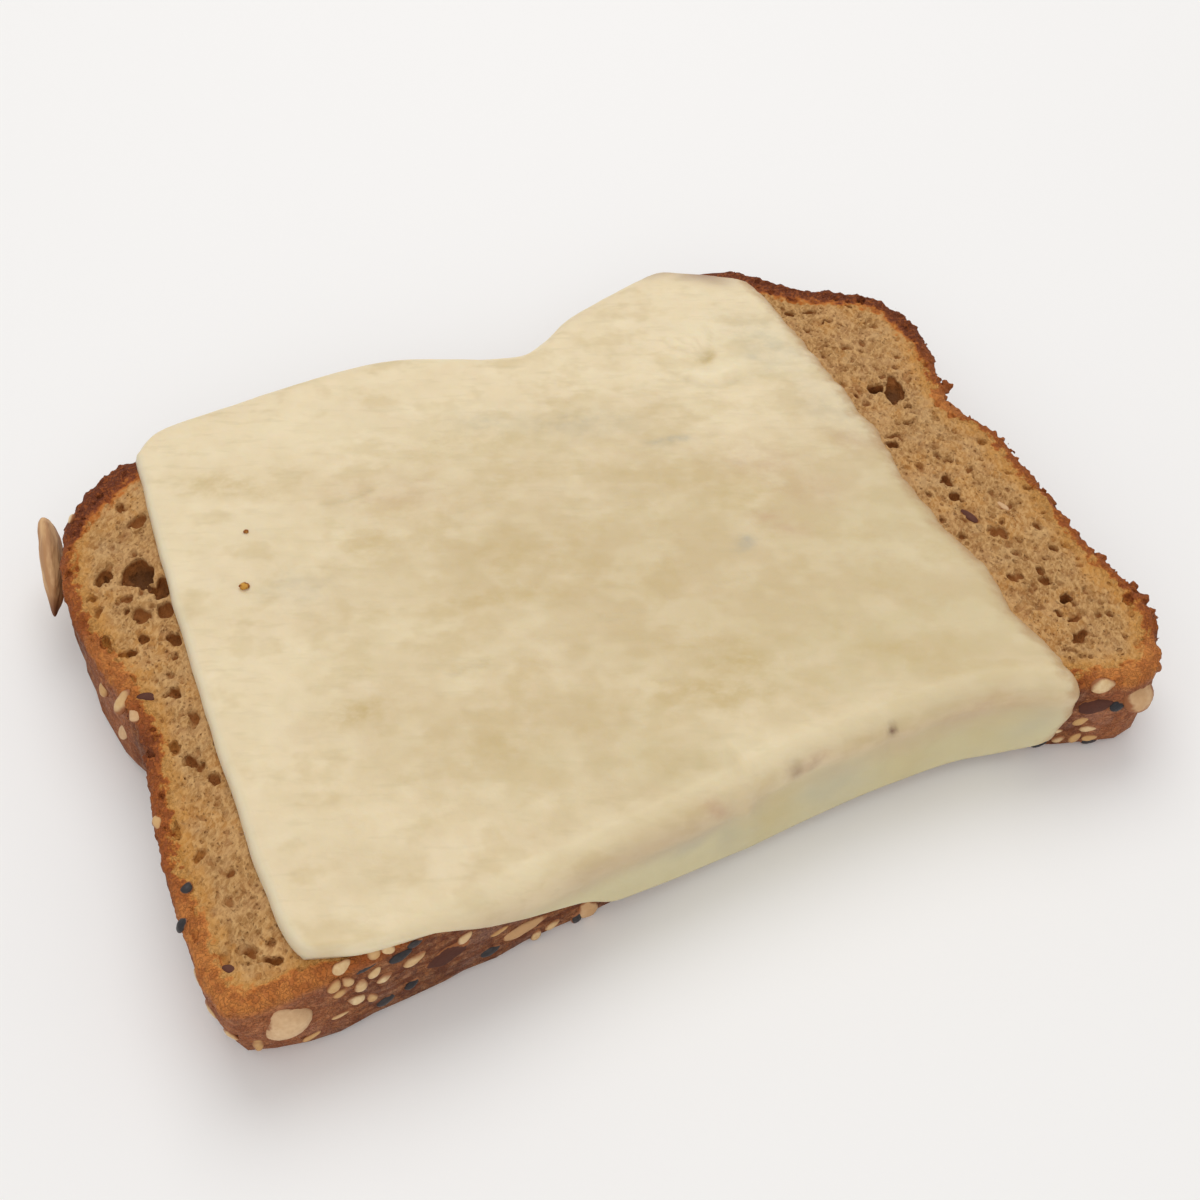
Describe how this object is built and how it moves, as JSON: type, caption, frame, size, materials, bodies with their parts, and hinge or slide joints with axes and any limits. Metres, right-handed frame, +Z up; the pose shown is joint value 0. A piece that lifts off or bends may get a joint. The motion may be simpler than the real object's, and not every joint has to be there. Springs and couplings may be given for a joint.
{
  "type": "cheese toast",
  "caption": "Slice of seeded brown bread lying flat, with a soft square slice of cheese over its middle that folds down over the front edge.",
  "frame": {"origin": "centre of the bounding box, on the flat underside of the bread", "axes": "+X along the width of the slice, +Y towards the domed top crust, +Z up through the cheese"},
  "size_m": [0.1368, 0.101, 0.0163],
  "materials": {
    "bread": "matte",
    "cheese": "satin"
  },
  "bodies": {
    "root": {"bread_slice": "bread", "cheese_slice": "cheese"}
  },
  "joints": []
}
